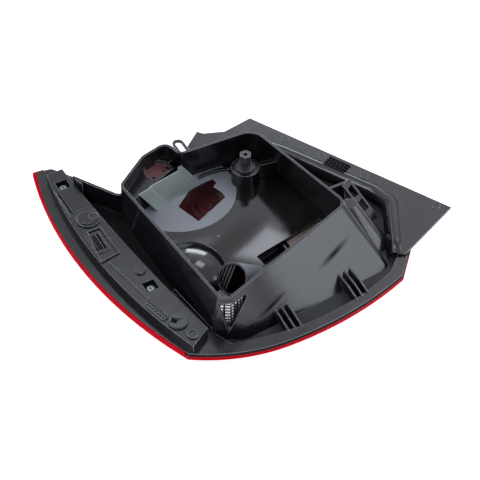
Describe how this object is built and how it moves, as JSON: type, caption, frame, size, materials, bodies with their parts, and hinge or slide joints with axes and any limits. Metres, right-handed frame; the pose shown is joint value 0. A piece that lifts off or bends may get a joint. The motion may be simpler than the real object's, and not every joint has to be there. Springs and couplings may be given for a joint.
{
  "type": "tail light cluster",
  "caption": "Rear lamp cluster of a small car, seen from its body side: black moulded housing with an open bulb chamber, screwed mounting rail, side panel and red lens with a clear wedge.",
  "frame": {"origin": "mouth of the fixing stud's threaded hole, on its axis", "axes": "+Z out of the lamp towards the car body, along the stud; +Y along the straight side of the bulb chamber towards the pointed tip; +X from the mounting rail to the side panel"},
  "size_m": [0.3718, 0.3342, 0.083],
  "materials": {
    "black_abs": "satin moulded black",
    "lacquered_reflector": "gloss brown black",
    "red_acrylic": "transparent red, polished",
    "clear_acrylic": "clear, polished",
    "dark_red_acrylic": "transparent dark red",
    "brown_plastic": "brown, satin",
    "chromed_plastic": "vacuum metallised facets",
    "zinc_sheet": "zinc plated sheet",
    "black_steel": "black oxide",
    "zinc_steel": "zinc plated",
    "rubber": "matte"
  },
  "bodies": {
    "root": {"housing": "black_abs", "mounting_rail": "black_abs", "side_panel": "black_abs", "reflector": "lacquered_reflector", "red_lens": "red_acrylic", "clear_lens": "clear_acrylic", "inner_filter": "dark_red_acrylic", "socket_plate": "brown_plastic", "reverse_bowl": "brown_plastic", "corner_reflector": "chromed_plastic", "heat_shield": "zinc_sheet", "fixing_stud": "black_steel", "rail_screws": "zinc_steel", "panel_screw": "zinc_steel", "rail_bumper": "rubber"}
  },
  "joints": []
}
